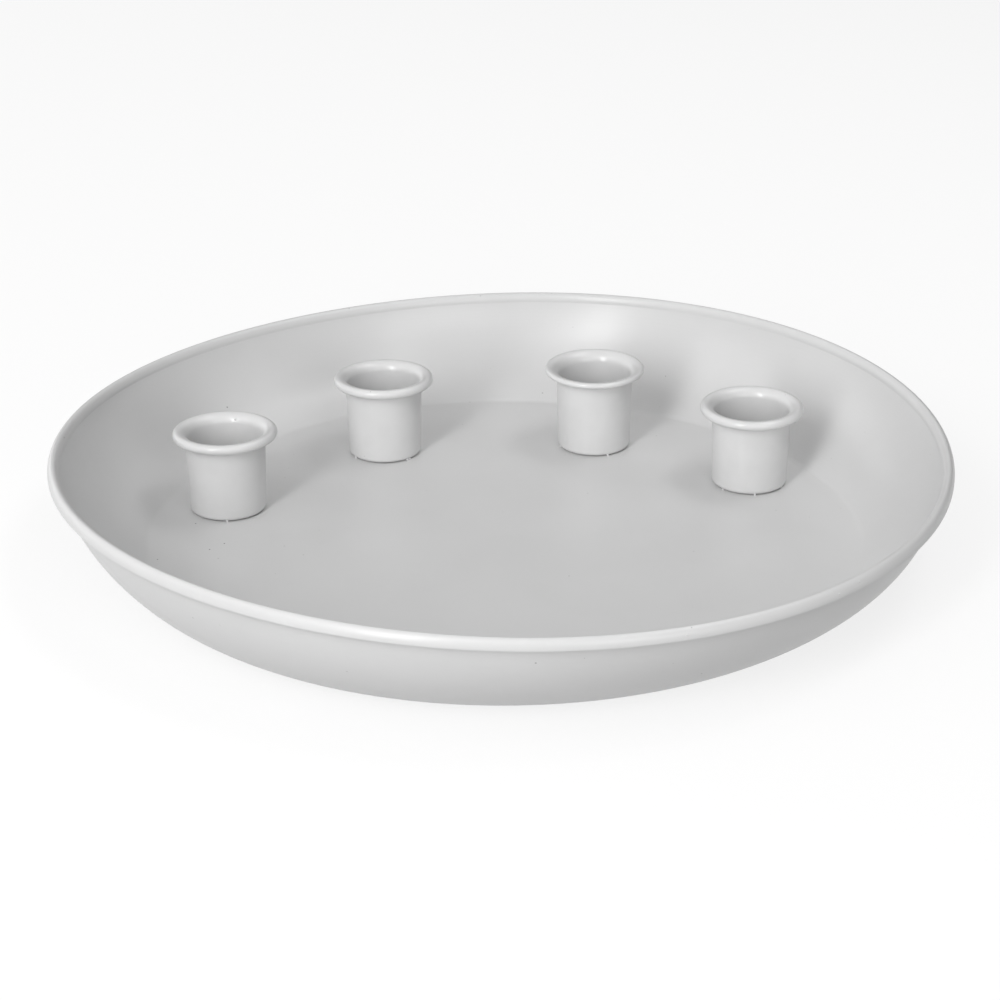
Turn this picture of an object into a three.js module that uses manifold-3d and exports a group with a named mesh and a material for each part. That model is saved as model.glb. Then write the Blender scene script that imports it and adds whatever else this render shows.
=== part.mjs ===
// Advent candle holder: a round sheet-steel tray with a curled rim, and four drawn candle cups
// riveted along an arc over the rear of its floor. Millimetres, +Z up. The origin is the middle of
// the tray's underside, on the table, and +Y runs straight back between the two middle cups.

import * as THREE from 'three';
import { mergeVertices } from 'three/addons/utils/BufferGeometryUtils.js';
import Module from 'manifold-3d';

// Tray, one sheet
const TRAY_SHEET = 0.8;
const TRAY_HEIGHT = 33.5; // table to the top of the rim
const RIM_RADIUS = 135; // outside of the curled rim
const BEAD_RADIUS = 1.95; // outside of the curl's own section
const CURL_START = 188; // degrees on the curl where the wall runs into it
const CURL_TURN = 310; // degrees of curl, which leaves an open seam against the wall
const FLOOR_RADIUS = 109; // where the floor would meet the wall without its bend
const FLOOR_BEND_RADIUS = 5; // inside of the bend from floor to wall
const WALL_BULGE = 4.6; // how far the wall bows out from a straight cone

// Pressed seats that locate the cups and keep the rivet heads off the table
const SEAT_RISE = 0.8;
const SEAT_RADIUS = 7; // flat top
const SEAT_FLANK = 1.5; // run of the sloping edge

// Candle cups, one drawn sheet each
const CUP_SHEET = 0.7;
const CUP_HEIGHT = 26.6; // foot to the top of the lip
const CUP_FOOT_GAP = 0.35; // shadow gap between the foot and the tray's floor
const CUP_BOSS_RADIUS = 7.3; // flat part of the cup's floor, raised to fit over the seat
const CUP_BOSS_FLANK = 1.2; // run of its sloping edge
const CUP_FOOT_RADIUS = 11.2; // inside, at the floor
const CUP_MOUTH_RADIUS = 11.75; // inside, where the lip starts to flare
const CUP_FOOT_BEND = 0.2; // inside of the bend from floor to wall
const LIP_FLARE_RADIUS = 3; // inside of the flare
const LIP_RADIUS = 16.3; // outside of the rolled lip
const LIP_ROLL_RADIUS = 1.3; // outside of the roll's own section
const LIP_TURN = 245; // degrees of roll from the top of the lip
const CUP_ARC_RADIUS = 99; // the arc that the cups stand on
const CUP_ARC_SETBACK = 24.2; // the arc's centre lies this far in front of the tray's
const CUP_BEARINGS = [56.3, 17.5, -23.6, -57.9]; // degrees to the left of straight back

// Rivets, one through each seat and cup floor
const RIVET_SHANK_RADIUS = 2;
const RIVET_HEAD_RADIUS = 4; // flat head, under the seat
const RIVET_HEAD_HEIGHT = 0.5;
const RIVET_SNAP_RADIUS = 3.4; // domed end, inside the cup
const RIVET_SNAP_HEIGHT = 1;
const RIVET_CLEARANCE = 0.1; // shank to hole, all round
const SEAT_GAP = 0.1; // left between pieces that are pressed together

// Facets. A pair is for the face that shows, then for the other face of the sheet.
const TRAY_SEGMENTS = 72;
const CUP_SEGMENTS = 28;
const RIVET_SEGMENTS = 16;
const FLOOR_BEND_STEPS = 2;
const WALL_STEPS = 7;
const CURL_STEPS = [10, 7];
const FOOT_BEND_STEPS = [2, 2];
const FLARE_STEPS = [3, 2];
const ROLL_STEPS = [7, 4];
const DOME_STEPS = 4;
const WELD_DISTANCE = 1e-5;
const CUT_MARGIN = 1; // how far a cutter reaches past the face that it opens

// Directions in a section, in degrees
const OUTWARD = 0;
const UP = 90;
const INWARD = 180;
const DOWN = -90;

const TRAY_PAINT = new THREE.MeshStandardMaterial({ color: 0xd4d4d2, roughness: 0.4, metalness: 0 });
const CUP_PAINT = new THREE.MeshStandardMaterial({ color: 0xd8d8d6, roughness: 0.38, metalness: 0 });
const RIVET_PAINT = new THREE.MeshStandardMaterial({ color: 0xd0d0ce, roughness: 0.42, metalness: 0 });

const wasm = await Module();
wasm.setup();

// Section geometry: points are [radius, height] pairs, angles are in degrees.

function polar([radius, height], distance, angle) {
  const turn = THREE.MathUtils.degToRad(angle);
  return [radius + distance * Math.cos(turn), height + distance * Math.sin(turn)];
}

function bearing([r0, z0], [r1, z1]) {
  return THREE.MathUtils.radToDeg(Math.atan2(z1 - z0, r1 - r0));
}

function arc(centre, radius, from, to, steps) {
  const stops = Array.from({ length: steps + 1 }, (_, i) => from + ((to - from) * i) / steps);
  return stops.map((angle) => polar(centre, radius, angle));
}

// Centre and radius of the arc between two points that bows down and outwards by the given height.
function bowedArc([r0, z0], [r1, z1], bow) {
  const chord = Math.hypot(r1 - r0, z1 - z0);
  const radius = (chord * chord) / (8 * bow) + bow / 2;
  const inset = (radius - bow) / chord;
  const centre = [(r0 + r1) / 2 - (z1 - z0) * inset, (z0 + z1) / 2 + (r1 - r0) * inset];
  return { centre, radius };
}

// Solids

function weld(geometry) {
  geometry.deleteAttribute('normal');
  geometry.deleteAttribute('uv');
  const welded = mergeVertices(geometry, WELD_DISTANCE);
  const index = welded.getIndex().array;
  const kept = [];
  for (let i = 0; i < index.length; i += 3) {
    const [a, b, c] = index.subarray(i, i + 3);
    if (a !== b && b !== c && c !== a) kept.push(a, b, c);
  }
  welded.setIndex(kept);
  return welded;
}

// Turns a section about the Z axis. It runs anticlockwise and ends on the axis or on its own start.
function revolve(section, segments) {
  const points = section.map(([radius, height]) => new THREE.Vector2(radius, height));
  const geometry = new THREE.LatheGeometry(points, segments);
  geometry.rotateX(Math.PI / 2);
  return weld(geometry);
}

function toManifold(geometry) {
  const vertProperties = new Float32Array(geometry.getAttribute('position').array);
  const triVerts = new Uint32Array(geometry.getIndex().array);
  return new wasm.Manifold(new wasm.Mesh({ numProp: 3, vertProperties, triVerts }));
}

function toGeometry(manifold) {
  const { vertProperties, triVerts } = manifold.getMesh();
  const geometry = new THREE.BufferGeometry();
  geometry.setAttribute('position', new THREE.BufferAttribute(vertProperties, 3));
  geometry.setIndex(new THREE.BufferAttribute(triVerts, 1));
  return geometry;
}

function named(name, geometry, material) {
  geometry.computeVertexNormals();
  const mesh = new THREE.Mesh(geometry, material);
  mesh.name = name;
  return mesh;
}

// Where the cups stand

const seatTop = TRAY_SHEET + SEAT_RISE;
const cupBase = TRAY_SHEET + CUP_FOOT_GAP;
const bossRise = seatTop + SEAT_GAP - cupBase;
const holeRadius = RIVET_SHANK_RADIUS + RIVET_CLEARANCE;

const stations = CUP_BEARINGS.map((degrees) => {
  const turn = THREE.MathUtils.degToRad(degrees);
  const x = -CUP_ARC_RADIUS * Math.sin(turn);
  const y = CUP_ARC_RADIUS * Math.cos(turn) - CUP_ARC_SETBACK;
  return new THREE.Vector3(x, y, 0);
});

// Tray: flat floor, bent up into a bowed wall that ends in the curled rim

function traySection() {
  const curlCentre = [RIM_RADIUS - BEAD_RADIUS, TRAY_HEIGHT - BEAD_RADIUS];
  const curlEnd = CURL_START - CURL_TURN;
  const neck = polar(curlCentre, BEAD_RADIUS, CURL_START);
  const wall = bowedArc([FLOOR_RADIUS, TRAY_SHEET], neck, WALL_BULGE);
  const wallEnd = bearing(wall.centre, neck);

  const bendHeight = TRAY_SHEET + FLOOR_BEND_RADIUS;
  const drop = wall.centre[1] - bendHeight;
  const reach = Math.sqrt((wall.radius - FLOOR_BEND_RADIUS) ** 2 - drop ** 2);
  const bendCentre = [wall.centre[0] + reach, bendHeight];
  const wallStart = bearing(wall.centre, bendCentre);

  const inside = [
    [0, TRAY_SHEET],
    ...arc(bendCentre, FLOOR_BEND_RADIUS, DOWN, wallStart, FLOOR_BEND_STEPS),
    ...arc(wall.centre, wall.radius, wallStart, wallEnd, WALL_STEPS).slice(1, -1),
    ...arc(curlCentre, BEAD_RADIUS, CURL_START, curlEnd, CURL_STEPS[0]),
  ];
  const outside = [
    [0, 0],
    ...arc(bendCentre, FLOOR_BEND_RADIUS + TRAY_SHEET, DOWN, wallStart, FLOOR_BEND_STEPS),
    ...arc(wall.centre, wall.radius + TRAY_SHEET, wallStart, wallEnd, WALL_STEPS).slice(1),
    ...arc(curlCentre, BEAD_RADIUS - TRAY_SHEET, CURL_START, curlEnd, CURL_STEPS[1]),
  ];
  return [...outside, ...inside.reverse()];
}

function seatPad() {
  const root = TRAY_SHEET / 2;
  const edge = SEAT_RADIUS + SEAT_FLANK;
  const section = [[0, root], [edge, root], [edge, TRAY_SHEET], [SEAT_RADIUS, seatTop], [0, seatTop]];
  return revolve(section, CUP_SEGMENTS);
}

function seatHollow() {
  const edge = SEAT_RADIUS + SEAT_FLANK;
  const cutter = [[0, -CUT_MARGIN], [edge, -CUT_MARGIN], [edge, 0]];
  return revolve([...cutter, [SEAT_RADIUS, SEAT_RISE], [0, SEAT_RISE]], CUP_SEGMENTS);
}

function seatHole() {
  const top = seatTop + CUT_MARGIN;
  const section = [[0, -CUT_MARGIN], [holeRadius, -CUT_MARGIN], [holeRadius, top], [0, top]];
  return revolve(section, RIVET_SEGMENTS);
}

function trayPan() {
  const pad = toManifold(seatPad());
  const hollow = toManifold(seatHollow());
  const hole = toManifold(seatHole());
  let pan = toManifold(revolve(traySection(), TRAY_SEGMENTS));
  for (const station of stations) {
    const at = station.toArray();
    pan = pan.add(pad.translate(at)).subtract(hollow.translate(at)).subtract(hole.translate(at));
  }
  return toGeometry(pan);
}

// Candle cup: drawn from one sheet, slightly tapered, with a floor raised to fit over the seat and a
// flared and rolled lip

function bossSection(height) {
  const top = height + bossRise;
  return [[holeRadius, top], [CUP_BOSS_RADIUS, top], [CUP_BOSS_RADIUS + CUP_BOSS_FLANK, height]];
}

function cupSection() {
  const footBend = [CUP_FOOT_RADIUS - CUP_FOOT_BEND, CUP_SHEET + CUP_FOOT_BEND];
  const flareCentre = [CUP_MOUTH_RADIUS + LIP_FLARE_RADIUS, CUP_HEIGHT - LIP_FLARE_RADIUS];
  const rollCentre = [LIP_RADIUS - LIP_ROLL_RADIUS, CUP_HEIGHT - LIP_ROLL_RADIUS];
  const rollEnd = UP - LIP_TURN;
  const inside = [
    ...bossSection(CUP_SHEET),
    ...arc(footBend, CUP_FOOT_BEND, DOWN, OUTWARD, FOOT_BEND_STEPS[1]),
    ...arc(flareCentre, LIP_FLARE_RADIUS, INWARD, UP, FLARE_STEPS[0]),
    ...arc(rollCentre, LIP_ROLL_RADIUS, UP, rollEnd, ROLL_STEPS[0]),
  ];
  const outside = [
    ...bossSection(0),
    ...arc(footBend, CUP_FOOT_BEND + CUP_SHEET, DOWN, OUTWARD, FOOT_BEND_STEPS[0]),
    ...arc(flareCentre, LIP_FLARE_RADIUS - CUP_SHEET, INWARD, UP, FLARE_STEPS[1]),
    ...arc(rollCentre, LIP_ROLL_RADIUS - CUP_SHEET, UP, rollEnd, ROLL_STEPS[1]),
  ];
  return [...outside, ...inside.reverse(), outside[0]];
}

// Rivet: flat head under the seat, domed end in the cup

function rivetSection() {
  const headTop = SEAT_RISE - SEAT_GAP;
  const headBottom = headTop - RIVET_HEAD_HEIGHT;
  const snapBottom = cupBase + bossRise + CUP_SHEET + SEAT_GAP;
  const dome = Array.from({ length: DOME_STEPS + 1 }, (_, i) => {
    const turn = ((i / DOME_STEPS) * Math.PI) / 2;
    return [RIVET_SNAP_RADIUS * Math.cos(turn), snapBottom + RIVET_SNAP_HEIGHT * Math.sin(turn)];
  });
  dome[DOME_STEPS][0] = 0;
  return [
    [0, headBottom],
    [RIVET_HEAD_RADIUS, headBottom],
    [RIVET_HEAD_RADIUS, headTop],
    [RIVET_SHANK_RADIUS, headTop],
    [RIVET_SHANK_RADIUS, snapBottom],
    ...dome,
  ];
}

// Assembly

const holder = new THREE.Group();
holder.add(named('tray_pan', trayPan(), TRAY_PAINT));

stations.forEach((station, i) => {
  const cup = named(`candle_cup_${i + 1}`, revolve(cupSection(), CUP_SEGMENTS), CUP_PAINT);
  cup.position.z = cupBase;
  const rivet = named(`cup_rivet_${i + 1}`, revolve(rivetSection(), RIVET_SEGMENTS), RIVET_PAINT);
  const place = new THREE.Group();
  place.position.copy(station);
  place.add(cup, rivet);
  holder.add(place);
});

export default holder;
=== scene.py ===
"""Looks of a round painted tray with four riveted candle cups.

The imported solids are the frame: each piece made here stands where its solid stands and keeps its
reach. Lengths are in metres, +Z is up and +Y runs straight back between the two middle cups.
"""

import logging
import math
from collections.abc import Callable
from dataclasses import dataclass
from dataclasses import replace
from enum import Enum
from typing import Any
from typing import Union

import bpy
from mathutils import Matrix
from mathutils import Vector


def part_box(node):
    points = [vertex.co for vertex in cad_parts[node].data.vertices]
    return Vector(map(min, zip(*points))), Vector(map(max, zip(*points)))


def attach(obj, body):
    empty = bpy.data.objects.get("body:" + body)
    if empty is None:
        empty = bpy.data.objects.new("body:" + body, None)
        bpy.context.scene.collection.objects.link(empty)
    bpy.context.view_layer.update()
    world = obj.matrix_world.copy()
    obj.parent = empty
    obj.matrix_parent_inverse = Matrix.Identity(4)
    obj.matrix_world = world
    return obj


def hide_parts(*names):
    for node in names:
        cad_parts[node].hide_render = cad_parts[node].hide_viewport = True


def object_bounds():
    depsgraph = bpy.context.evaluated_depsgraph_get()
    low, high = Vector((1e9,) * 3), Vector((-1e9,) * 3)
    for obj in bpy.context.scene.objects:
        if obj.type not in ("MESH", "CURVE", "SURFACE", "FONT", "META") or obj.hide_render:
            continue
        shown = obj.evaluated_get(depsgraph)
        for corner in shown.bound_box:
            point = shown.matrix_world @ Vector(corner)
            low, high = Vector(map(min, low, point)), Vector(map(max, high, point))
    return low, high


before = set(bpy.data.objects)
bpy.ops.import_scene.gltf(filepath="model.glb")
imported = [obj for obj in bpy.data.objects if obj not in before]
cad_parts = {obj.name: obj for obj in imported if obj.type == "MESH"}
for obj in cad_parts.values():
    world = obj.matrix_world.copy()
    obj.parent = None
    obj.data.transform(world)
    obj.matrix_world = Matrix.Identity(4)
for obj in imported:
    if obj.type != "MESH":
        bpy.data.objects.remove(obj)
CAD_LOW, CAD_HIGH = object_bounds()

LOG = logging.getLogger("advent_candle_holder")
BODY = "root"
MM = 0.001
MERGE_DISTANCE = 1e-6
SHARP_ANGLE = math.radians(24)
CUT_WELD = 0.005 * MM
GUARD = 0.25 * MM
LONG_RUN = 4 * GUARD

OUTWARD = 0.0
UP = 90.0
INWARD = 180.0
DOWN = -90.0

Point = tuple[float, float]
Colour = tuple[float, float, float]
Operand = Union["Signal", float]


class Slot(Enum):
    """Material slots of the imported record."""

    TRAY = "tray_paint"
    CUP = "cup_paint"
    RIVET = "rivet_paint"


# Node trees


def math_operator(operation: str, mirrored: bool = False) -> Callable[["Signal", Operand], "Signal"]:
    """Makes an operator of Signal.

    Args:
        operation: the Math node's operation.
        mirrored: whether the signal stands on the right.

    Returns:
        The operator.
    """

    def apply(signal: "Signal", other: Operand) -> "Signal":
        """Adds the Math node."""
        values = (other, signal) if mirrored else (signal, other)
        return signal.graph.math(operation, *values)

    return apply


class Signal:
    """A number in a node tree. Arithmetic on it adds Math nodes."""

    def __init__(self, graph: "Graph", socket: bpy.types.NodeSocket) -> None:
        """Wraps an output socket of a node in the graph."""
        self.graph = graph
        self.socket = socket

    __add__ = math_operator("ADD")
    __radd__ = math_operator("ADD", mirrored=True)
    __sub__ = math_operator("SUBTRACT")
    __rsub__ = math_operator("SUBTRACT", mirrored=True)
    __mul__ = math_operator("MULTIPLY")
    __rmul__ = math_operator("MULTIPLY", mirrored=True)
    __truediv__ = math_operator("DIVIDE")
    __gt__ = math_operator("GREATER_THAN")


class Graph:
    """A node tree that is being written."""

    MIX_FACTOR = 0
    MIX_COLOURS = (6, 7)
    MIX_RESULT = 2

    def __init__(self, tree: bpy.types.NodeTree) -> None:
        """Starts from an empty tree."""
        self.tree = tree
        self.tree.nodes.clear()

    def node(
        self,
        kind: str,
        settings: dict[str, Any] | None = None,
        inputs: dict[Any, Any] | None = None,
    ) -> bpy.types.Node:
        """Adds one node.

        Args:
            kind: the node's type name.
            settings: its own properties, set before its sockets.
            inputs: values, sockets or signals by socket name or number.

        Returns:
            The new node.
        """
        made = self.tree.nodes.new(kind)
        for name, value in (settings or {}).items():
            setattr(made, name, value)
        for key, value in (inputs or {}).items():
            socket = made.inputs[key]
            if isinstance(value, Signal):
                self.tree.links.new(value.socket, socket)
            elif isinstance(value, bpy.types.NodeSocket):
                self.tree.links.new(value, socket)
            else:
                socket.default_value = value
        return made

    def signal(
        self,
        kind: str,
        settings: dict[str, Any] | None = None,
        inputs: dict[Any, Any] | None = None,
        output: Any = 0,
    ) -> Signal:
        """Adds one node and wraps one of its outputs."""
        return Signal(self, self.node(kind, settings, inputs).outputs[output])

    def math(self, operation: str, *values: Operand) -> Signal:
        """Adds one Math node."""
        return self.signal("ShaderNodeMath", {"operation": operation}, dict(enumerate(values)))

    def split(self, vector: bpy.types.NodeSocket) -> tuple[Signal, Signal, Signal]:
        """Splits a vector socket into three signals."""
        made = self.node("ShaderNodeSeparateXYZ", inputs={0: vector})
        return tuple(Signal(self, socket) for socket in made.outputs)

    def join(self, x: Operand, y: Operand, z: Operand) -> bpy.types.NodeSocket:
        """Joins three numbers into a vector socket."""
        return self.node("ShaderNodeCombineXYZ", inputs={0: x, 1: y, 2: z}).outputs[0]

    def ease(self, value: Signal, low: float | Signal, high: float | Signal) -> Signal:
        """Rises smoothly from 0 at low to 1 at high."""
        return self.signal(
            "ShaderNodeMapRange",
            {"interpolation_type": "SMOOTHSTEP"},
            {"Value": value, "From Min": low, "From Max": high},
        )

    def mix(self, share: Operand, first: Any, second: Any) -> bpy.types.NodeSocket:
        """Mixes two colours."""
        inputs = {self.MIX_FACTOR: share, **dict(zip(self.MIX_COLOURS, (first, second)))}
        return self.node("ShaderNodeMix", {"data_type": "RGBA"}, inputs).outputs[self.MIX_RESULT]


class ShapeTree:
    """A Geometry Nodes tree with named inputs that turns an object into a plain mesh."""

    KINDS = {
        "geometry": "NodeSocketGeometry",
        "whole": "NodeSocketInt",
        "number": "NodeSocketFloat",
        "object": "NodeSocketObject",
        "material": "NodeSocketMaterial",
    }

    def __init__(self, name: str, sockets: dict[str, str]) -> None:
        """Makes the tree's interface.

        Args:
            name: the tree's name.
            sockets: the kind of each named input. The first one is the object's own geometry.
        """
        self.tree = bpy.data.node_groups.new(name, "GeometryNodeTree")
        self.graph = Graph(self.tree)
        self.identifiers = {}
        for label, kind in sockets.items():
            made = self.tree.interface.new_socket(label, in_out="INPUT", socket_type=self.KINDS[kind])
            self.identifiers[label] = made.identifier
        self.tree.interface.new_socket("Geometry", in_out="OUTPUT", socket_type=self.KINDS["geometry"])
        self.entry = self.graph.node("NodeGroupInput")

    def socket(self, label: str) -> bpy.types.NodeSocket:
        """Gives a named input as a socket."""
        return self.entry.outputs[label]

    def value(self, label: str) -> Signal:
        """Gives a named input as a signal."""
        return Signal(self.graph, self.entry.outputs[label])

    def geometry_of(self, label: str) -> bpy.types.NodeSocket:
        """Gives the geometry of an object input."""
        info = self.graph.node("GeometryNodeObjectInfo", inputs={"Object": self.socket(label)})
        return info.outputs["Geometry"]

    def scatter(
        self,
        points: bpy.types.NodeSocket,
        shape: bpy.types.NodeSocket,
        inputs: dict[str, Any] | None = None,
    ) -> bpy.types.NodeSocket:
        """Sets a copy of a shape on each point, as real geometry."""
        sockets = {"Points": points, "Instance": shape, **(inputs or {})}
        made = self.graph.node("GeometryNodeInstanceOnPoints", inputs=sockets)
        return self.realize(made.outputs[0])

    def draw(self, low: Operand, high: Operand, seed: Signal) -> Signal:
        """Draws a random number between two for each point."""
        inputs = {"Min": low, "Max": high, "Seed": seed}
        return self.graph.signal("FunctionNodeRandomValue", {"data_type": "FLOAT"}, inputs, "Value")

    def realize(self, geometry: bpy.types.NodeSocket) -> bpy.types.NodeSocket:
        """Turns instances into real geometry."""
        return self.graph.node("GeometryNodeRealizeInstances", inputs={0: geometry}).outputs[0]

    def close(self, geometry: bpy.types.NodeSocket) -> None:
        """Ends the tree: smooth faces, real geometry and one paint."""
        smooth = self.graph.node("GeometryNodeSetShadeSmooth", inputs={"Geometry": geometry})
        real = self.realize(smooth.outputs[0])
        painted = self.graph.node(
            "GeometryNodeSetMaterial", inputs={"Geometry": real, "Material": self.socket("Paint")}
        )
        self.graph.node("NodeGroupOutput", inputs={0: painted.outputs[0]})

    def run(self, piece: bpy.types.Object, values: dict[str, Any]) -> None:
        """Runs the tree on an object and leaves a plain mesh.

        Args:
            piece: the object whose mesh is the first input.
            values: the other inputs by name.
        """
        modifier = piece.modifiers.new(self.tree.name, "NODES")
        modifier.node_group = self.tree
        for label, value in values.items():
            modifier[self.identifiers[label]] = value
        bpy.context.view_layer.update()
        depsgraph = bpy.context.evaluated_depsgraph_get()
        made = bpy.data.meshes.new_from_object(piece.evaluated_get(depsgraph), depsgraph=depsgraph)
        piece.modifiers.remove(modifier)
        old = piece.data
        piece.data = made
        made.name = piece.name
        bpy.data.meshes.remove(old)


class TurningTree(ShapeTree):
    """Turns a section about the Z axis, with the slight wander of hand-finished sheet."""

    def __init__(self) -> None:
        """Writes the tree."""
        super().__init__(
            "turned_sheet",
            {
                "Section": "geometry",
                "Rows": "whole",
                "Segments": "whole",
                "Wander From": "number",
                "Wander To": "number",
                "Radial Wander": "number",
                "Radial Lobes": "number",
                "Radial Phase": "number",
                "Height Wander": "number",
                "Height Lobes": "number",
                "Height Phase": "number",
                "Paint": "material",
            },
        )
        graph = self.graph
        rows = self.value("Rows")
        grid = graph.node(
            "GeometryNodeMeshGrid",
            inputs={
                "Size X": 1.0,
                "Size Y": 1.0,
                "Vertices X": self.value("Segments") + 1.0,
                "Vertices Y": rows,
            },
        )
        position = graph.node("GeometryNodeInputPosition").outputs[0]
        across, along, _ = graph.split(position)
        turn = (across + 0.5) * math.tau
        row = graph.math("ROUND", (along + 0.5) * (rows - 1.0))
        sampled = graph.node(
            "GeometryNodeSampleIndex",
            {"data_type": "FLOAT_VECTOR", "domain": "POINT"},
            {"Geometry": self.socket("Section"), "Value": position, "Index": row},
        )
        radius, _, height = graph.split(sampled.outputs[0])
        share = graph.ease(height, self.value("Wander From"), self.value("Wander To"))
        radius = radius + share * self._lobes("Radial", turn)
        height = height + share * self._lobes("Height", turn)
        place = graph.join(
            radius * graph.math("COSINE", turn), radius * graph.math("SINE", turn), height
        )
        moved = graph.node(
            "GeometryNodeSetPosition", inputs={"Geometry": grid.outputs[0], "Position": place}
        )
        merged = graph.node(
            "GeometryNodeMergeByDistance",
            inputs={"Geometry": moved.outputs[0], "Distance": MERGE_DISTANCE},
        )
        self.close(merged.outputs[0])

    def _lobes(self, kind: str, turn: Signal) -> Signal:
        """Gives one wave round the axis from the inputs of that kind."""
        wave = self.graph.math("COSINE", turn * self.value(f"{kind} Lobes") + self.value(f"{kind} Phase"))
        return wave * self.value(f"{kind} Wander")


class PressingTree(ShapeTree):
    """Presses a raised seat with a rivet hole into a sheet at each station."""

    def __init__(self) -> None:
        """Writes the tree."""
        super().__init__(
            "pressed_seats",
            {
                "Sheet": "geometry",
                "Stations": "object",
                "Pad": "object",
                "Hollow": "object",
                "Hole": "object",
                "Paint": "material",
            },
        )
        stations = self.geometry_of("Stations")
        sheet = self._cut("UNION", self.socket("Sheet"), self.scatter(stations, self.geometry_of("Pad")))
        for cutter in ("Hollow", "Hole"):
            sheet = self._cut("DIFFERENCE", sheet, self.scatter(stations, self.geometry_of(cutter)))
        welded = self.graph.node(
            "GeometryNodeMergeByDistance", inputs={"Geometry": sheet, "Distance": CUT_WELD}
        )
        self.close(welded.outputs[0])

    def _cut(
        self, operation: str, sheet: bpy.types.NodeSocket, tool: bpy.types.NodeSocket
    ) -> bpy.types.NodeSocket:
        """Adds one boolean step."""
        made = self.graph.node("GeometryNodeMeshBoolean", {"operation": operation, "solver": "EXACT"})
        first = "Mesh 2" if operation == "UNION" else "Mesh 1"
        self.tree.links.new(sheet, made.inputs[first])
        self.tree.links.new(tool, made.inputs["Mesh 2"])
        return made.outputs[0]


class RivetTree(ShapeTree):
    """Sets a rivet at each station, each one turned its own way."""

    def __init__(self) -> None:
        """Writes the tree."""
        super().__init__(
            "set_rivets",
            {"Stations": "geometry", "Rivet": "object", "Seed": "whole", "Paint": "material"},
        )
        rotation = self.graph.join(0.0, 0.0, self.draw(0.0, math.tau, self.value("Seed")))
        self.close(
            self.scatter(self.socket("Stations"), self.geometry_of("Rivet"), {"Rotation": rotation})
        )


class BeadTree(ShapeTree):
    """Sets a small bead of paint on each point."""

    ROUNDNESS = 3

    def __init__(self) -> None:
        """Writes the tree."""
        super().__init__(
            "paint_beads",
            {
                "Points": "geometry",
                "Radius": "number",
                "Height": "number",
                "Spread": "number",
                "Seed": "whole",
                "Paint": "material",
            },
        )
        graph = self.graph
        bead = graph.node(
            "GeometryNodeMeshIcoSphere", inputs={"Radius": 1.0, "Subdivisions": self.ROUNDNESS}
        )
        spread = self.value("Spread")
        size = self.draw(1.0 - spread, 1.0 + spread, self.value("Seed"))
        across = size * self.value("Radius")
        scale = graph.join(across, across, self.value("Height"))
        self.close(self.scatter(self.socket("Points"), bead.outputs["Mesh"], {"Scale": scale}))


class NibTree(ShapeTree):
    """Scatters dust nibs, caught under the paint, over the faces of a sheet that look up."""

    ROUNDNESS = 2
    LEAST_FACING = 0.2

    def __init__(self) -> None:
        """Writes the tree."""
        super().__init__(
            "dust_nibs",
            {
                "Sheet": "geometry",
                "Per Square Metre": "number",
                "Least Radius": "number",
                "Most Radius": "number",
                "Flatness": "number",
                "Highest": "number",
                "Seed": "whole",
                "Paint": "material",
            },
        )
        graph = self.graph
        _, _, height = graph.split(graph.node("GeometryNodeInputPosition").outputs[0])
        _, _, facing = graph.split(graph.node("GeometryNodeInputNormal").outputs[0])
        spread = graph.node(
            "GeometryNodeDistributePointsOnFaces",
            {"distribute_method": "RANDOM"},
            {
                "Mesh": self.socket("Sheet"),
                "Selection": (facing > self.LEAST_FACING) * (self.value("Highest") > height),
                "Density": self.value("Per Square Metre"),
                "Seed": self.value("Seed"),
            },
        )
        nib = graph.node(
            "GeometryNodeMeshIcoSphere", inputs={"Radius": 1.0, "Subdivisions": self.ROUNDNESS}
        )
        size = self.draw(
            self.value("Least Radius"), self.value("Most Radius"), self.value("Seed") + 1.0
        )
        scale = graph.join(size, size, size * self.value("Flatness"))
        inputs = {"Rotation": spread.outputs["Rotation"], "Scale": scale}
        self.close(self.scatter(spread.outputs["Points"], nib.outputs["Mesh"], inputs))


# Finishes

PATCH_DETAIL = 3.0
PATCH_EDGES = (0.35, 0.7)
GLOSS_DETAIL = 2.0
GLOSS_FINENESS = 3.0
RELIEF_DETAIL = 1.0
SPECK_LEAST = 0.3
SPECK_CORE = 0.4
SPIN_DETAIL = 2.0
SPIN_ROUND = 0.02
SPIN_OUT = 0.6
SPIN_UP = 0.8
AXIS_GAP = 0.01 * MM


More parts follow.
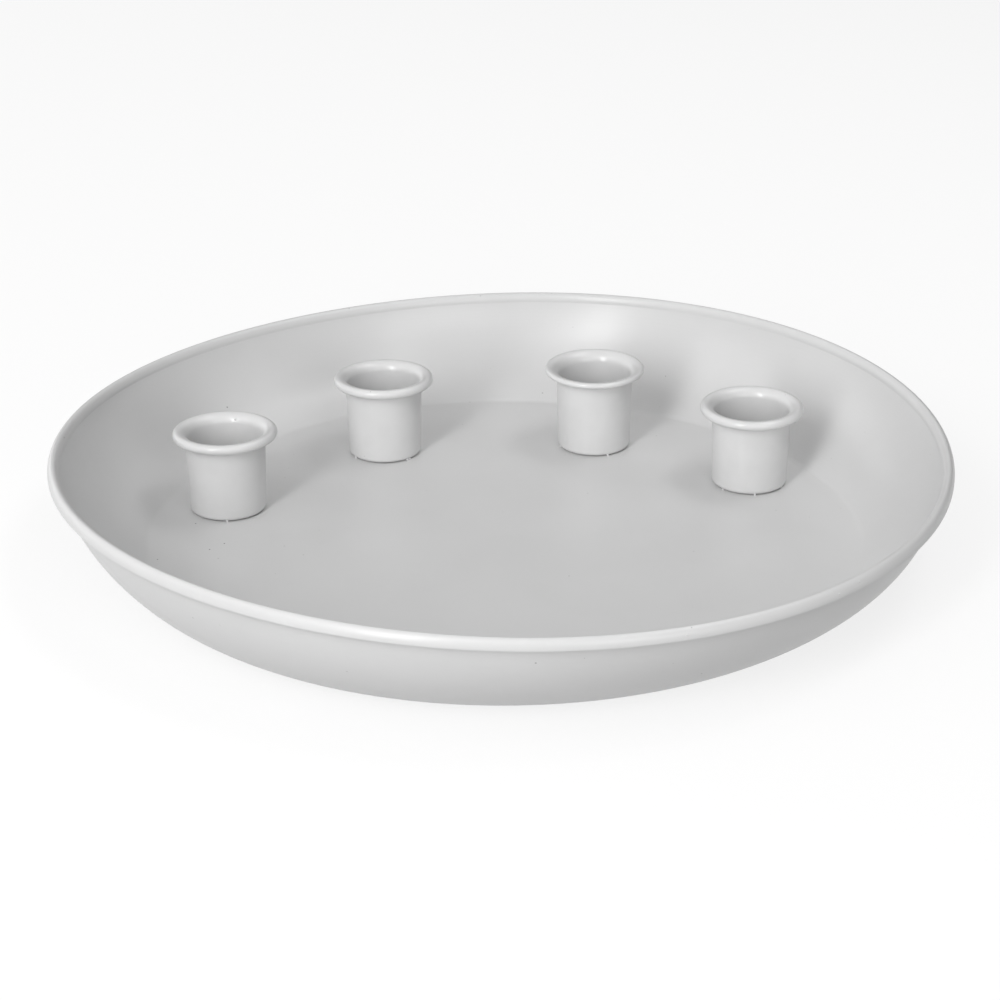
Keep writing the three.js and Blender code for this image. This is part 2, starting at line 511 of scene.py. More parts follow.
@dataclass(frozen=True)
class SatinPaint:
    """Sprayed satin paint over pressed steel, with what a spray line leaves in it."""

    name: str
    slot: Slot
    tone: Colour
    thin_tone: Colour
    patch_pitch: float
    roughness: float
    roughness_spread: float
    peel_pitch: float
    peel_depth: float
    ripple_pitch: float
    ripple_depth: float
    spin_pitch: float
    spin_depth: float
    speck_pitch: float
    speck_radius: float
    speck_share: float
    speck_tone: Colour
    bump_distance: float = 1.0
    ior: float = 1.35
    coat: float = 0.2
    coat_roughness: float = 0.23

    def material(self) -> bpy.types.Material:
        """Writes the shader.

        Returns:
            The finished material.
        """
        made = bpy.data.materials.new(self.name)
        made.use_nodes = True
        graph = Graph(made.node_tree)
        place = graph.node("ShaderNodeTexCoord").outputs["Object"]
        patch = graph.ease(self._noise(graph, place, self.patch_pitch, PATCH_DETAIL), *PATCH_EDGES)
        tone = graph.mix(patch, self._rgba(self.tone), self._rgba(self.thin_tone))
        tone = graph.mix(self._specks(graph, place), tone, self._rgba(self.speck_tone))
        gloss = self._noise(graph, place, self.patch_pitch / GLOSS_FINENESS, GLOSS_DETAIL) - 0.5
        roughness = self.roughness + gloss * self.roughness_spread
        bump = graph.node(
            "ShaderNodeBump",
            inputs={
                "Strength": 1.0,
                "Distance": self.bump_distance,
                "Height": self._relief(graph, place),
            },
        )
        shader = graph.node(
            "ShaderNodeBsdfPrincipled",
            inputs={
                "Base Color": tone,
                "Roughness": roughness,
                "Normal": bump.outputs[0],
                "IOR": self.ior,
                "Coat Weight": self.coat,
                "Coat Roughness": self.coat_roughness,
            },
        )
        graph.node("ShaderNodeOutputMaterial", inputs={"Surface": shader.outputs[0]})
        return made

    @staticmethod
    def _rgba(tone: Colour) -> tuple[float, float, float, float]:
        """Gives a colour its alpha."""
        return (*tone, 1.0)

    @staticmethod
    def _noise(graph: Graph, place: bpy.types.NodeSocket, pitch: float, detail: float) -> Signal:
        """Adds noise whose features lie about one pitch apart."""
        return graph.signal(
            "ShaderNodeTexNoise", inputs={"Vector": place, "Scale": 1.0 / pitch, "Detail": detail}
        )

    def _specks(self, graph: Graph, place: bpy.types.NodeSocket) -> Signal:
        """Gives a mask of small specks, in some cells of a loose grid only."""
        cells = graph.node(
            "ShaderNodeTexVoronoi", inputs={"Vector": place, "Scale": 1.0 / self.speck_pitch}
        )
        chance, size, depth = graph.split(cells.outputs["Color"])
        rest = 1.0 - SPECK_LEAST
        radius = (size * rest + SPECK_LEAST) * (self.speck_radius / self.speck_pitch)
        distance = Signal(graph, cells.outputs["Distance"])
        spot = 1.0 - graph.ease(distance, radius * SPECK_CORE, radius)
        return spot * (chance > 1.0 - self.speck_share) * (depth * rest + SPECK_LEAST)

    def _relief(self, graph: Graph, place: bpy.types.NodeSocket) -> Signal:
        """Gives the height of the paint: orange peel, slow ripples and spinning rings."""
        peel = self._noise(graph, place, self.peel_pitch, RELIEF_DETAIL)
        ripple = self._noise(graph, place, self.ripple_pitch, RELIEF_DETAIL)
        x, y, z = graph.split(place)
        radius = graph.math("SQRT", x * x + y * y) + AXIS_GAP
        along = graph.join(
            x / radius * SPIN_ROUND, y / radius * SPIN_ROUND, z * SPIN_UP + radius * SPIN_OUT
        )
        spin = self._noise(graph, along, self.spin_pitch, SPIN_DETAIL)
        return peel * self.peel_depth + ripple * self.ripple_depth + spin * self.spin_depth


PAINT_GREY = (0.597, 0.597, 0.597)
PAINT_THIN = (0.58, 0.58, 0.58)
# The cups wear the tray's own paint. Their two greys are that paint made lighter: painted light standing
# in for the extra light that falls on the cups.
CUP_GREY_PAINTED_LIGHTER = (0.63, 0.63, 0.63)
CUP_THIN_PAINTED_LIGHTER = (0.608, 0.608, 0.608)
SPECK_GREY = (0.2, 0.2, 0.2)
# Near-black, for the small dark dots set on the floor.
DARK_DOT_GREY = (0.05, 0.05, 0.05)

TRAY_FINISH = SatinPaint(
    name="satin_grey_tray",
    slot=Slot.TRAY,
    tone=PAINT_GREY,
    thin_tone=PAINT_THIN,
    patch_pitch=45 * MM,
    roughness=0.36,
    roughness_spread=0.03,
    peel_pitch=1.1 * MM,
    peel_depth=0.011 * MM,
    ripple_pitch=28 * MM,
    ripple_depth=0.03 * MM,
    spin_pitch=0.9 * MM,
    spin_depth=0.005 * MM,
    speck_pitch=6.5 * MM,
    speck_radius=0.42 * MM,
    speck_share=0.8,
    speck_tone=SPECK_GREY,
)
# The cups' finish carries the painted-lighter greys above.
CUP_FINISH = SatinPaint(
    name="satin_grey_cups",
    slot=Slot.CUP,
    tone=CUP_GREY_PAINTED_LIGHTER,
    thin_tone=CUP_THIN_PAINTED_LIGHTER,
    patch_pitch=12 * MM,
    roughness=0.36,
    roughness_spread=0.03,
    peel_pitch=1.0 * MM,
    peel_depth=0.011 * MM,
    ripple_pitch=9 * MM,
    ripple_depth=0.02 * MM,
    spin_pitch=0.8 * MM,
    spin_depth=0.002 * MM,
    speck_pitch=7 * MM,
    speck_radius=0.3 * MM,
    speck_share=0.6,
    speck_tone=SPECK_GREY,
    coat=0.5,
    coat_roughness=0.18,
)
RIVET_FINISH = SatinPaint(
    name="satin_grey_rivets",
    slot=Slot.RIVET,
    tone=PAINT_GREY,
    thin_tone=PAINT_THIN,
    patch_pitch=3 * MM,
    roughness=0.42,
    roughness_spread=0.04,
    peel_pitch=0.8 * MM,
    peel_depth=0.03 * MM,
    ripple_pitch=2.5 * MM,
    ripple_depth=0.08 * MM,
    spin_pitch=0.6 * MM,
    spin_depth=0.002 * MM,
    speck_pitch=4 * MM,
    speck_radius=0.2 * MM,
    speck_share=0.3,
    speck_tone=SPECK_GREY,
)
DARK_DOT_FINISH = replace(TRAY_FINISH, name="paint_pits", tone=DARK_DOT_GREY, thin_tone=DARK_DOT_GREY)


# Sections: points are (radius, height) pairs, angles are in degrees


def polar(centre: Point, distance: float, angle: float) -> Point:
    """Gives the point at a distance and an angle from a centre."""
    turn = math.radians(angle)
    return (centre[0] + distance * math.cos(turn), centre[1] + distance * math.sin(turn))


def bearing(start: Point, end: Point) -> float:
    """Gives the direction from one point to another."""
    return math.degrees(math.atan2(end[1] - start[1], end[0] - start[0]))


def arc(centre: Point, radius: float, start: float, end: float, steps: int) -> list[Point]:
    """Gives the points of an arc, both ends included."""
    return [polar(centre, radius, start + (end - start) * i / steps) for i in range(steps + 1)]


def squeezed(points: list[Point], middle: float, share: float) -> list[Point]:
    """Draws points in towards a radius, to a share of their distance from it."""
    return [(middle + (radius - middle) * share, height) for radius, height in points]


def guarded(points: list[Point]) -> list[Point]:
    """Adds a point close to each end of every long straight run, so that shading stays flat there.

    Args:
        points: a section.

    Returns:
        The section with its added points.
    """
    made = [points[0]]
    for start, end in zip(points, points[1:]):
        length = math.dist(start, end)
        if length > LONG_RUN:
            for share in (GUARD / length, 1 - GUARD / length):
                made.append(tuple(a + (b - a) * share for a, b in zip(start, end)))
        made.append(end)
    return made


def bowed_arc(start: Point, end: Point, bow: float) -> tuple[Point, float]:
    """Finds the arc between two points that bows down and outwards.

    Args:
        start: the lower point.
        end: the upper point.
        bow: the greatest distance between the arc and its chord.

    Returns:
        The arc's centre and radius.
    """
    chord = math.dist(start, end)
    radius = chord * chord / (8 * bow) + bow / 2
    inset = (radius - bow) / chord
    run = end[0] - start[0]
    rise = end[1] - start[1]
    return ((start[0] + end[0]) / 2 - rise * inset, (start[1] + end[1]) / 2 + run * inset), radius


# Pieces


def new_piece(name: str, points: list[tuple[float, float, float]]) -> bpy.types.Object:
    """Makes an object whose mesh holds bare points.

    Args:
        name: the object's name.
        points: the mesh's vertices.

    Returns:
        The object, at the origin.
    """
    mesh = bpy.data.meshes.new(name)
    mesh.from_pydata(points, [], [])
    piece = bpy.data.objects.new(name, mesh)
    bpy.context.scene.collection.objects.link(piece)
    return piece


def drop(*pieces: bpy.types.Object) -> None:
    """Removes objects that only served to make others."""
    for piece in pieces:
        mesh = piece.data
        bpy.data.objects.remove(piece)
        bpy.data.meshes.remove(mesh)


def finish_piece(piece: bpy.types.Object, nodes: tuple[str, ...]) -> None:
    """Marks sharp edges and ties a finished piece to the frame.

    Args:
        piece: the finished object.
        nodes: the solids that it stands for.
    """
    piece.data.set_sharp_from_angle(angle=SHARP_ANGLE)
    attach(piece, BODY)
    if nodes:
        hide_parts(*nodes)
    LOG.info("%s: %d faces", piece.name, len(piece.data.polygons))


@dataclass(frozen=True)
class Wander:
    """How far turned sheet strays from true, growing over a range of heights."""

    start: float
    end: float
    radial: float = 0.0
    radial_lobes: float = 2.0
    radial_phase: float = 0.0
    height: float = 0.0
    height_lobes: float = 2.0
    height_phase: float = 0.0

    def inputs(self) -> dict[str, float]:
        """Gives the inputs of the turning tree."""
        return {
            "Wander From": self.start,
            "Wander To": self.end,
            "Radial Wander": self.radial,
            "Radial Lobes": self.radial_lobes,
            "Radial Phase": self.radial_phase,
            "Height Wander": self.height,
            "Height Lobes": self.height_lobes,
            "Height Phase": self.height_phase,
        }


TRUE = Wander(start=0.0, end=1.0)


class Workshop:
    """The trees and paints that the pieces share."""

    def __init__(self) -> None:
        """Makes each tree and each paint once."""
        self.turning = TurningTree()
        self.pressing = PressingTree()
        self.riveting = RivetTree()
        self.beading = BeadTree()
        self.dusting = NibTree()
        self.paints = {
            finish: finish.material()
            for finish in (TRAY_FINISH, CUP_FINISH, RIVET_FINISH, DARK_DOT_FINISH)
        }

    def turn(
        self,
        name: str,
        section: list[Point],
        segments: int,
        finish: SatinPaint,
        wander: Wander = TRUE,
    ) -> bpy.types.Object:
        """Turns a section into a piece.

        Args:
            name: the piece's name.
            section: points from the axis round to the axis again, or a closed loop.
            segments: facets round the axis.
            finish: the paint.
            wander: how far it strays from true.

        Returns:
            The turned piece, about the Z axis.
        """
        piece = new_piece(name, [(radius, 0.0, height) for radius, height in section])
        values = {"Rows": len(section), "Segments": segments, "Paint": self.paints[finish]}
        self.turning.run(piece, {**values, **wander.inputs()})
        return piece


@dataclass
class TrayPan:
    """The tray: a flat floor bent up into a bowed wall that ends in a hooked rim."""

    node: str = "tray_pan"
    sheet: float = 0.8 * MM
    hook_half_height: float = 2.5 * MM
    hook_half_depth: float = 1.75 * MM
    hook_start: float = 190.0
    hook_end: float = -14.0
    floor_radius: float = 109 * MM
    floor_bend: float = 5 * MM
    wall_bulge: float = 4.3 * MM
    lobes: float = 1.25 * MM
    lobe_count: float = 3.0
    lobes_turn: float = 201.6
    twist: float = 0.96 * MM
    twist_turn: float = -75.6
    shift: Point = (1.166 * MM, 0.461 * MM)
    rim_margin: float = 0.06 * MM
    seat_rise: float = 0.8 * MM
    seat_radius: float = 7 * MM
    seat_flank: float = 1.5 * MM
    hole_radius: float = 2.1 * MM
    cut_margin: float = 1 * MM
    segments: int = 288
    seat_segments: int = 64
    bend_steps: int = 12
    wall_steps: int = 28
    hook_steps: int = 44

    def section(self) -> list[Point]:
        """Gives the section of the sheet, from the axis along its underside and back."""
        low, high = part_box(self.node)
        top = high.z - self.twist - self.rim_margin
        hook = (high.x - self.rim_margin - self.hook_half_depth, top - self.hook_half_height)
        hook_face = self.hook_side(hook, 0.0)
        neck = hook_face[0]
        centre, radius = bowed_arc((self.floor_radius, self.sheet), neck, self.wall_bulge)
        wall_end = bearing(centre, neck)
        bend_height = self.sheet + self.floor_bend
        drop_to_bend = centre[1] - bend_height
        reach = math.sqrt((radius - self.floor_bend) ** 2 - drop_to_bend**2)
        bend_centre = (centre[0] + reach, bend_height)
        wall_start = bearing(centre, bend_centre)
        inside = [
            (0.0, self.sheet),
            *arc(bend_centre, self.floor_bend, DOWN, wall_start, self.bend_steps),
            *arc(centre, radius, wall_start, wall_end, self.wall_steps)[1:-1],
            *hook_face,
        ]
        outside = [
            (0.0, low.z),
            *arc(bend_centre, self.floor_bend + self.sheet, DOWN, wall_start, self.bend_steps),
            *arc(centre, radius + self.sheet, wall_start, wall_end, self.wall_steps)[1:],
            *self.hook_side(hook, self.sheet),
        ]
        return guarded([*outside, *reversed(inside)])

    def hook_side(self, hook: Point, inset: float) -> list[Point]:
        """Gives one side of the hooked rim.

        Args:
            hook: the hook's middle.
            inset: how far the side lies inside the hook's outer face.

        Returns:
            The side's points, from the wall to the sheet's edge.
        """
        radius = self.hook_half_height - inset
        points = arc(hook, radius, self.hook_start, self.hook_end, self.hook_steps)
        return squeezed(points, hook[0], (self.hook_half_depth - inset) / radius)

    def tools(self, shop: Workshop) -> dict[str, bpy.types.Object]:
        """Makes the pad, hollow and hole that press one seat."""
        edge = self.seat_radius + self.seat_flank
        root = self.sheet / 2
        top = self.sheet + self.seat_rise
        below = -self.cut_margin
        above = top + self.cut_margin
        sections = {
            "Pad": [(0.0, root), (edge, root), (edge, self.sheet), (self.seat_radius, top), (0.0, top)],
            "Hollow": [
                (0.0, below),
                (edge, below),
                (edge, 0.0),
                (self.seat_radius, self.seat_rise),
                (0.0, self.seat_rise),
            ],
            "Hole": [(0.0, below), (self.hole_radius, below), (self.hole_radius, above), (0.0, above)],
        }
        return {
            label: shop.turn(label.lower(), section, self.seat_segments, TRAY_FINISH)
            for label, section in sections.items()
        }

    def build(self, shop: Workshop, stations: bpy.types.Object) -> bpy.types.Object:
        """Builds the painted pan.

        Args:
            shop: the shared trees and paints.
            stations: an object with a point under each cup.

        Returns:
            The finished piece.
        """
        _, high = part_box(self.node)
        wander = Wander(
            start=self.sheet,
            end=high.z - 2 * self.hook_half_height,
            radial=self.lobes,
            radial_lobes=self.lobe_count,
            radial_phase=math.radians(self.lobes_turn),
            height=self.twist,
            height_phase=math.radians(self.twist_turn),
        )
        pan = shop.turn("painted_tray_pan", self.section(), self.segments, TRAY_FINISH, wander)
        pan.data.transform(Matrix.Translation((*self.shift, 0.0)))
        tools = self.tools(shop)
        shop.pressing.run(pan, {"Stations": stations, "Paint": shop.paints[TRAY_FINISH], **tools})
        drop(*tools.values())
        finish_piece(pan, (self.node,))
        return pan


@dataclass
class CandleCup:
    """A candle cup: drawn from one sheet, slightly tapered, with a flared and rolled lip."""

    number: int
    sheet: float = 0.7 * MM
    foot_drop: float = 0.15 * MM
    boss_rise: float = 0.7 * MM
    boss_radius: float = 7.3 * MM
    boss_flank: float = 1.2 * MM
    foot_radius: float = 11.2 * MM
    mouth_radius: float = 11.75 * MM
    foot_bend: float = 0.6 * MM
    foot_edge: float = 1.3 * MM
    flare_radius: float = 3 * MM
    lip_radius: float = 16.3 * MM
    roll_radius: float = 1.45 * MM
    lip_turn: float = 245.0
    hole_radius: float = 2.1 * MM
    lip_lift: float = 0.0
    lip_lean: float = 0.0
    lean_turn: float = 0.0
    lip_wave: float = 0.12 * MM
    lip_phase: float = 0.0
    segments: int = 144
    bend_steps: int = 8
    flare_steps: int = 12
    roll_steps: int = 28

    @property
    def node(self) -> str:
        """Names the solid that this cup stands for."""
        return f"candle_cup_{self.number}"

    @property
    def place(self) -> Vector:
        """Gives the middle of the cup's underside."""
        low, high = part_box(self.node)
        return Vector(((low.x + high.x) / 2, (low.y + high.y) / 2, low.z - self.foot_drop))

    @property
    def height(self) -> float:
        """Gives the height from foot to lip."""
        low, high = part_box(self.node)
        return high.z - low.z + self.foot_drop + self.lip_lift

    def boss(self, height: float) -> list[Point]:
        """Gives one face of the floor, which is raised to fit over the seat."""
        top = height + self.boss_rise
        edge = self.boss_radius + self.boss_flank
        return [(self.hole_radius, top), (self.boss_radius, top), (edge, height)]

    def section(self) -> list[Point]:
        """Gives the closed section of the sheet."""
        bend = (self.foot_radius - self.foot_bend, self.sheet + self.foot_bend)
        edge = (self.foot_radius + self.sheet - self.foot_edge, self.foot_edge)
        flare = (self.mouth_radius + self.flare_radius, self.height - self.flare_radius)
        roll = (self.lip_radius - self.roll_radius, self.height - self.roll_radius)
        roll_end = UP - self.lip_turn
        inside = [
            *self.boss(self.sheet),
            *arc(bend, self.foot_bend, DOWN, OUTWARD, self.bend_steps),
            *arc(flare, self.flare_radius, INWARD, UP, self.flare_steps),
            *arc(roll, self.roll_radius, UP, roll_end, self.roll_steps),
        ]
        outside = [
            *self.boss(0.0),
            *arc(edge, self.foot_edge, DOWN, OUTWARD, self.bend_steps),
            *arc(flare, self.flare_radius - self.sheet, INWARD, UP, self.flare_steps),
            *arc(roll, self.roll_radius - self.sheet, UP, roll_end, self.roll_steps),
        ]
        return guarded([*outside, *reversed(inside), outside[0]])

    def build(self, shop: Workshop) -> bpy.types.Object:
        """Builds the painted cup on its seat.

        Args:
            shop: the shared trees and paints.

        Returns:
            The finished piece.
        """
        wander = Wander(
            start=self.height / 2,
            end=self.height,
            radial=-self.lip_wave / 2,
            radial_phase=self.lip_phase,
            height=self.lip_lean,
            height_lobes=1.0,
            height_phase=math.radians(self.lean_turn),
        )
        name = f"painted_candle_cup_{self.number}"
        cup = shop.turn(name, self.section(), self.segments, CUP_FINISH, wander)
        cup.data.transform(Matrix.Translation(self.place))
        finish_piece(cup, (self.node,))
        return cup


@dataclass
class CupRivets:
    """The rivets that hold the cups: a flat head under each seat and a domed end in each cup."""

    count: int
    shank_radius: float = 2 * MM
    head_radius: float = 4 * MM
    head_height: float = 0.5 * MM
    snap_radius: float = 3.4 * MM
    snap_height: float = 1 * MM
    head_edge: float = 0.15 * MM
    segments: int = 48
    edge_steps: int = 4
    dome_steps: int = 10
    seed: int = 5

    @property
    def nodes(self) -> tuple[str, ...]:
        """Names the solids that the rivets stand for."""
        return tuple(f"cup_rivet_{i + 1}" for i in range(self.count))

    def section(self) -> list[Point]:
        """Gives a rivet's section from the axis round to the axis."""
        low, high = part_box(self.nodes[0])
        head_top = low.z + self.head_height
        snap_bottom = high.z - self.snap_height
        edge = self.head_radius - self.head_edge
        turns = [math.pi / 2 * i / self.dome_steps for i in range(self.dome_steps)]
        dome = [
            (self.snap_radius * math.cos(turn), snap_bottom + self.snap_height * math.sin(turn))
            for turn in turns
        ]
        section = [
            (0.0, low.z),
            *arc((edge, low.z + self.head_edge), self.head_edge, DOWN, OUTWARD, self.edge_steps),
            (self.head_radius, head_top),
            (self.shank_radius, head_top),
            (self.shank_radius, snap_bottom),
            *dome,
            (0.0, high.z),
        ]
        return guarded(section)

    def build(self, shop: Workshop, stations: bpy.types.Object) -> bpy.types.Object:
        """Builds the painted rivets as one piece.

        Args:
            shop: the shared trees and paints.
            stations: an object with a point under each cup.

        Returns:
            The finished piece.
        """
        pattern = shop.turn("rivet_pattern", self.section(), self.segments, RIVET_FINISH)
        rivets = new_piece("painted_cup_rivets", [tuple(v.co) for v in stations.data.vertices])
        values = {"Rivet": pattern, "Seed": self.seed, "Paint": shop.paints[RIVET_FINISH]}
        shop.riveting.run(rivets, values)
        drop(pattern)
        finish_piece(rivets, self.nodes)
        return rivets


@dataclass(frozen=True)
class Beads:
    """The size of beads of paint, and how far it varies."""

    radius: float
    height: float
    spread: float = 0.2
    seed: int = 17

    def build(
        self, shop: Workshop, name: str, finish: SatinPaint, points: list[tuple[float, float, float]]
    ) -> bpy.types.Object:
        """Builds the beads as one piece.

        Args:
            shop: the shared trees and paints.
            name: the piece's name.
            finish: the paint.
            points: the middle of each bead.

        Returns:
            The finished piece.
        """
        piece = new_piece(name, points)
        values = {
            "Radius": self.radius,
            "Height": self.height,
            "Spread": self.spread,
            "Seed": self.seed,
            "Paint": shop.paints[finish],
        }
        shop.beading.run(piece, values)
        finish_piece(piece, ())
        return piece


@dataclass
class FootBridges:
    """Beads of paint that bridge the seam between the cups' feet and the floor."""

    ring_radius: float = 11.3 * MM
    centre_height: float = 1.0 * MM
    beads: Beads = Beads(radius=0.4 * MM, height=0.45 * MM, spread=0.35, seed=11)
    bearings: tuple[tuple[float, ...], ...] = (
        (-94.0, 20.0, 95.0, 160.0),
        (-153.0, -55.0, -50.0, 60.0, 120.0, 175.0),
        (-75.0, 25.0, 80.0, 150.0, -175.0),
        (-149.0, -93.0, -38.0, 45.0, 140.0),
    )

    def build(self, shop: Workshop, cups: list[CandleCup]) -> bpy.types.Object:
        """Builds the beads as one piece.

        Args:
            shop: the shared trees and paints.
            cups: the cups, in the order of the bearings.

        Returns:
            The finished piece.
        """
        points = []
        for cup, bearings in zip(cups, self.bearings):
            for angle in bearings:
                x, y = polar((cup.place.x, cup.place.y), self.ring_radius, angle)
                points.append((x, y, self.centre_height))
        return self.beads.build(shop, "paint_bridges", CUP_FINISH, points)


@dataclass
class DustNibs:
    """Dust caught under the tray's paint."""

    per_square_metre: float = 1500.0
    least_radius: float = 0.1 * MM
    most_radius: float = 0.26 * MM
    flatness: float = 0.4
    rim_clearance: float = 5 * MM
    seed: int = 3

    def build(self, shop: Workshop, pan: bpy.types.Object) -> bpy.types.Object:
        """Builds the nibs as one piece.

        Args:
            shop: the shared trees and paints.
            pan: the finished tray pan.

        Returns:
            The finished piece.
        """
        nibs = bpy.data.objects.new("dust_nibs", pan.data.copy())
        bpy.context.scene.collection.objects.link(nibs)
        values = {
            "Per Square Metre": self.per_square_metre,
            "Least Radius": self.least_radius,
            "Most Radius": self.most_radius,
            "Flatness": self.flatness,
            "Highest": CAD_HIGH.z - self.rim_clearance,
            "Seed": self.seed,
            "Paint": shop.paints[TRAY_FINISH],
        }
        shop.dusting.run(nibs, values)
        finish_piece(nibs, ())
        return nibs


@dataclass
class PaintFlaws:
    """Flaws at known spots, in millimetres, all of one size and in one paint."""

    name: str
    finish: SatinPaint
    beads: Beads
    spots: tuple[tuple[float, float, float], ...]

    def build(self, shop: Workshop) -> bpy.types.Object:
        """Builds the flaws as one piece.

        Args:
            shop: the shared trees and paints.

        Returns:
            The finished piece.
        """
        points = [(x * MM, y * MM, z * MM) for x, y, z in self.spots]
        return self.beads.build(shop, self.name, self.finish, points)


FLAWS = (
    PaintFlaws(
        name="rim_nibs",
        finish=TRAY_FINISH,
        beads=Beads(radius=0.3 * MM, height=0.2 * MM),
        spots=((81.3, -108.7, 30.6), (74.6, -113.8, 29.9), (30.4, -132.2, 30.2)),
    ),
    # Near-black, nearly flat dots set on the floor.
    PaintFlaws(
        name="paint_pits",
        finish=DARK_DOT_FINISH,
        beads=Beads(radius=0.22 * MM, height=0.04 * MM),
        spots=((-92.9, 19.5, 0.8), (-88.9, -0.3, 0.8), (-84.4, 3.4, 0.8), (-104.5, -5.3, 0.8)),
    ),
    PaintFlaws(
        name="lip_blister",
        finish=CUP_FINISH,
        beads=Beads(radius=0.5 * MM, height=0.5 * MM),
        spots=((-78.8, 42.5, 25.5),),
    ),
)


# Studio


def towards(azimuth: float, elevation: float) -> Vector:
    """Gives a direction from the tray: azimuth 0 is straight in front, and 90 is to the right."""
    turn = math.radians(azimuth)
    lift = math.radians(elevation)
    return Vector((math.sin(turn) * math.cos(lift), -math.cos(turn) * math.cos(lift), math.sin(lift)))


@dataclass(frozen=True)
class SoftBox:
    """A soft light that faces the tray."""

    name: str
    azimuth: float
    elevation: float
    width: float
    height: float
    power: float
    distance: float = 1.3

    def build(self) -> None:
        """Hangs the light."""
        back = towards(self.azimuth, self.elevation)
        lamp = bpy.data.lights.new(self.name, "AREA")
        lamp.shape = "RECTANGLE"
        lamp.size = self.width
        lamp.size_y = self.height
        lamp.energy = self.power
        light = bpy.data.objects.new(self.name, lamp)
        light.location = back * self.distance
        light.rotation_mode = "QUATERNION"
        light.rotation_quaternion = (-back).to_track_quat("-Z", "Y")
        bpy.context.scene.collection.objects.link(light)


@dataclass(frozen=True)
class PhotoCamera:
    """The camera that took the photograph, as fitted to the rim, the floor and the cups."""

    azimuth: float = -7.2
    elevation: float = 23.77
    roll: float = -0.28
    distance: float = 728.2 * MM
    slide_right: float = 0.41 * MM
    slide_up: float = -10.63 * MM
    focal_pixels: float = 2374.5
    image_pixels: float = 1000.0
    sensor: float = 36.0

    def build(self) -> None:
        """Sets the scene's camera."""
        turn = math.radians(self.azimuth)
        roll = math.radians(self.roll)
        back = towards(self.azimuth, self.elevation)
        level = Vector((math.cos(turn), math.sin(turn), 0.0))
        upright = back.cross(level)
        right = math.cos(roll) * level + math.sin(roll) * upright
        up = back.cross(right)
        spot = back * self.distance - right * self.slide_right - up * self.slide_up
        lens = bpy.data.cameras.new("photo_camera")
        lens.sensor_width = self.sensor
        lens.lens = self.focal_pixels / self.image_pixels * self.sensor
        camera = bpy.data.objects.new("photo_camera", lens)
        camera.matrix_world = Matrix.Translation(spot) @ Matrix((right, up, back)).transposed().to_4x4()
        bpy.context.scene.collection.objects.link(camera)
        bpy.context.scene.camera = camera


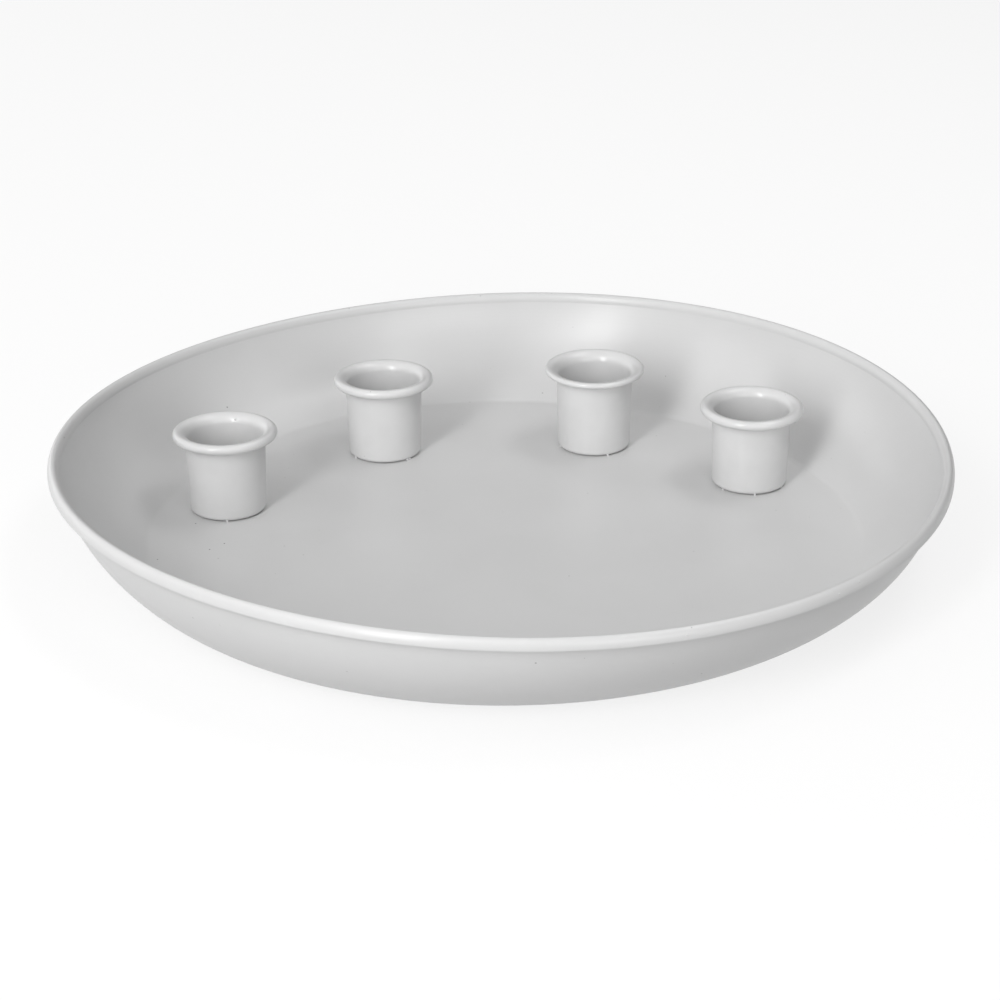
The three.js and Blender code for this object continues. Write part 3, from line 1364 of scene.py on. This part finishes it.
@dataclass
class Studio:
    """A plain white table, soft lights and the photograph's camera."""

    table_reach: float = 6.0
    table_drop: float = 0.15 * MM
    table_tone: Colour = (0.46, 0.46, 0.46)
    table_face: Colour = (0.95, 0.95, 0.95)
    table_white: float = 0.8
    world_strength: float = 0.01
    lights: tuple[SoftBox, ...] = (
        SoftBox("key_left", -35.0, 23.0, 0.25, 1.0, 11.2),
        SoftBox("key_top", -32.0, 50.0, 0.2, 0.28, 0.75),
        SoftBox("low_front", 0.0, 18.0, 0.7, 0.5, 0.9),
        SoftBox("low_right", 20.0, 15.0, 0.6, 0.5, 3.1),
        SoftBox("front", -7.0, 37.75, 1.19, 0.57, 1.35),
        SoftBox("high_front", -7.0, 62.5, 0.69, 0.58, 0.95),
        SoftBox("right", 53.0, 37.75, 1.19, 0.57, 0.6),
        SoftBox("high_right", 53.0, 62.0, 0.4, 0.4, 1.2),
        SoftBox("side_right", 88.0, 66.0, 0.35, 0.35, 1.7),
        SoftBox("high_rear_right", 113.0, 62.5, 0.69, 0.58, 2.0),
        SoftBox("side_left", -67.0, 37.75, 1.19, 0.57, 2.9),
        SoftBox("high_left", -67.0, 62.5, 0.69, 0.58, 0.6),
        SoftBox("low_rear_left", -127.0, 12.75, 1.46, 0.59, 4.6),
        SoftBox("rear_left", -127.0, 37.75, 1.19, 0.57, 1.05),
        SoftBox("rear", 173.0, 37.75, 1.19, 0.57, 1.5),
        SoftBox("high_rear", 173.0, 62.5, 0.69, 0.58, 1.1),
    )

    def build(self) -> None:
        """Sets the table, the world, the lights and the camera."""
        self._table()
        self._world()
        for light in self.lights:
            light.build()
        PhotoCamera().build()
        bpy.context.scene.view_settings.view_transform = "Standard"

    @staticmethod
    def _seen(graph: Graph) -> Signal:
        """Gives 1 for the rays that show the backdrop itself, in glass and gloss too."""
        path = graph.node("ShaderNodeLightPath")
        seen = Signal(graph, path.outputs["Is Camera Ray"])
        for label in ("Is Glossy Ray", "Is Transmission Ray"):
            seen = graph.math("MAXIMUM", seen, Signal(graph, path.outputs[label]))
        return seen

    def _table(self) -> None:
        """Lays the white table, whose whiteness to the eye leaves the tray's shadow on it."""
        reach = self.table_reach
        corners = [(-reach, -reach), (reach, -reach), (reach, reach), (-reach, reach)]
        mesh = bpy.data.meshes.new("white_table")
        mesh.from_pydata([(x, y, -self.table_drop) for x, y in corners], [], [(0, 1, 2, 3)])
        table = bpy.data.objects.new("white_table", mesh)
        bpy.context.scene.collection.objects.link(table)
        material = bpy.data.materials.new("white_table")
        material.use_nodes = True
        graph = Graph(material.node_tree)
        matt = graph.node("ShaderNodeBsdfDiffuse", inputs={"Color": (*self.table_tone, 1.0)})
        face = graph.node("ShaderNodeBsdfDiffuse", inputs={"Color": (*self.table_face, 1.0)})
        white = graph.node("ShaderNodeEmission", inputs={"Strength": 1.0})
        shown = graph.node(
            "ShaderNodeMixShader", inputs={0: self.table_white, 1: face.outputs[0], 2: white.outputs[0]}
        )
        table_light = graph.node(
            "ShaderNodeMixShader", inputs={0: self._seen(graph), 1: matt.outputs[0], 2: shown.outputs[0]}
        )
        graph.node("ShaderNodeOutputMaterial", inputs={"Surface": table_light.outputs[0]})
        mesh.materials.append(material)

    def _world(self) -> None:
        """Surrounds the table with a trace of even white light."""
        world = bpy.data.worlds.new("white_room")
        world.use_nodes = True
        bpy.context.scene.world = world
        graph = Graph(world.node_tree)
        room = graph.node(
            "ShaderNodeBackground",
            inputs={"Color": (1.0, 1.0, 1.0, 1.0), "Strength": self.world_strength},
        )
        graph.node("ShaderNodeOutputWorld", inputs={"Surface": room.outputs[0]})


def main() -> None:
    """Builds the pieces in order and sets the studio round them."""
    logging.basicConfig(level=logging.INFO, format="%(name)s: %(message)s")
    shop = Workshop()
    cups = [
        CandleCup(number=1, lip_lift=-0.35 * MM, lip_lean=0.27 * MM, lean_turn=97.0),
        CandleCup(number=2, lip_lift=-0.25 * MM, lip_lean=0.2 * MM, lean_turn=97.0, lip_phase=1.1),
        CandleCup(
            number=3,
            flare_radius=3.5 * MM,
            roll_radius=0.9 * MM,
            lip_lift=0.61 * MM,
            lip_lean=0.34 * MM,
            lean_turn=-83.0,
            lip_phase=2.2,
        ),
        CandleCup(number=4, lip_lift=-0.25 * MM, lip_lean=0.34 * MM, lean_turn=-83.0, lip_phase=3.3),
    ]
    stations = new_piece("cup_stations", [(cup.place.x, cup.place.y, 0.0) for cup in cups])
    pan = TrayPan().build(shop, stations)
    for cup in cups:
        cup.build(shop)
    CupRivets(count=len(cups)).build(shop, stations)
    FootBridges().build(shop, cups)
    DustNibs().build(shop, pan)
    for flaw in FLAWS:
        flaw.build(shop)
    drop(stations)
    Studio().build()


if __name__ == "__main__":
    main()
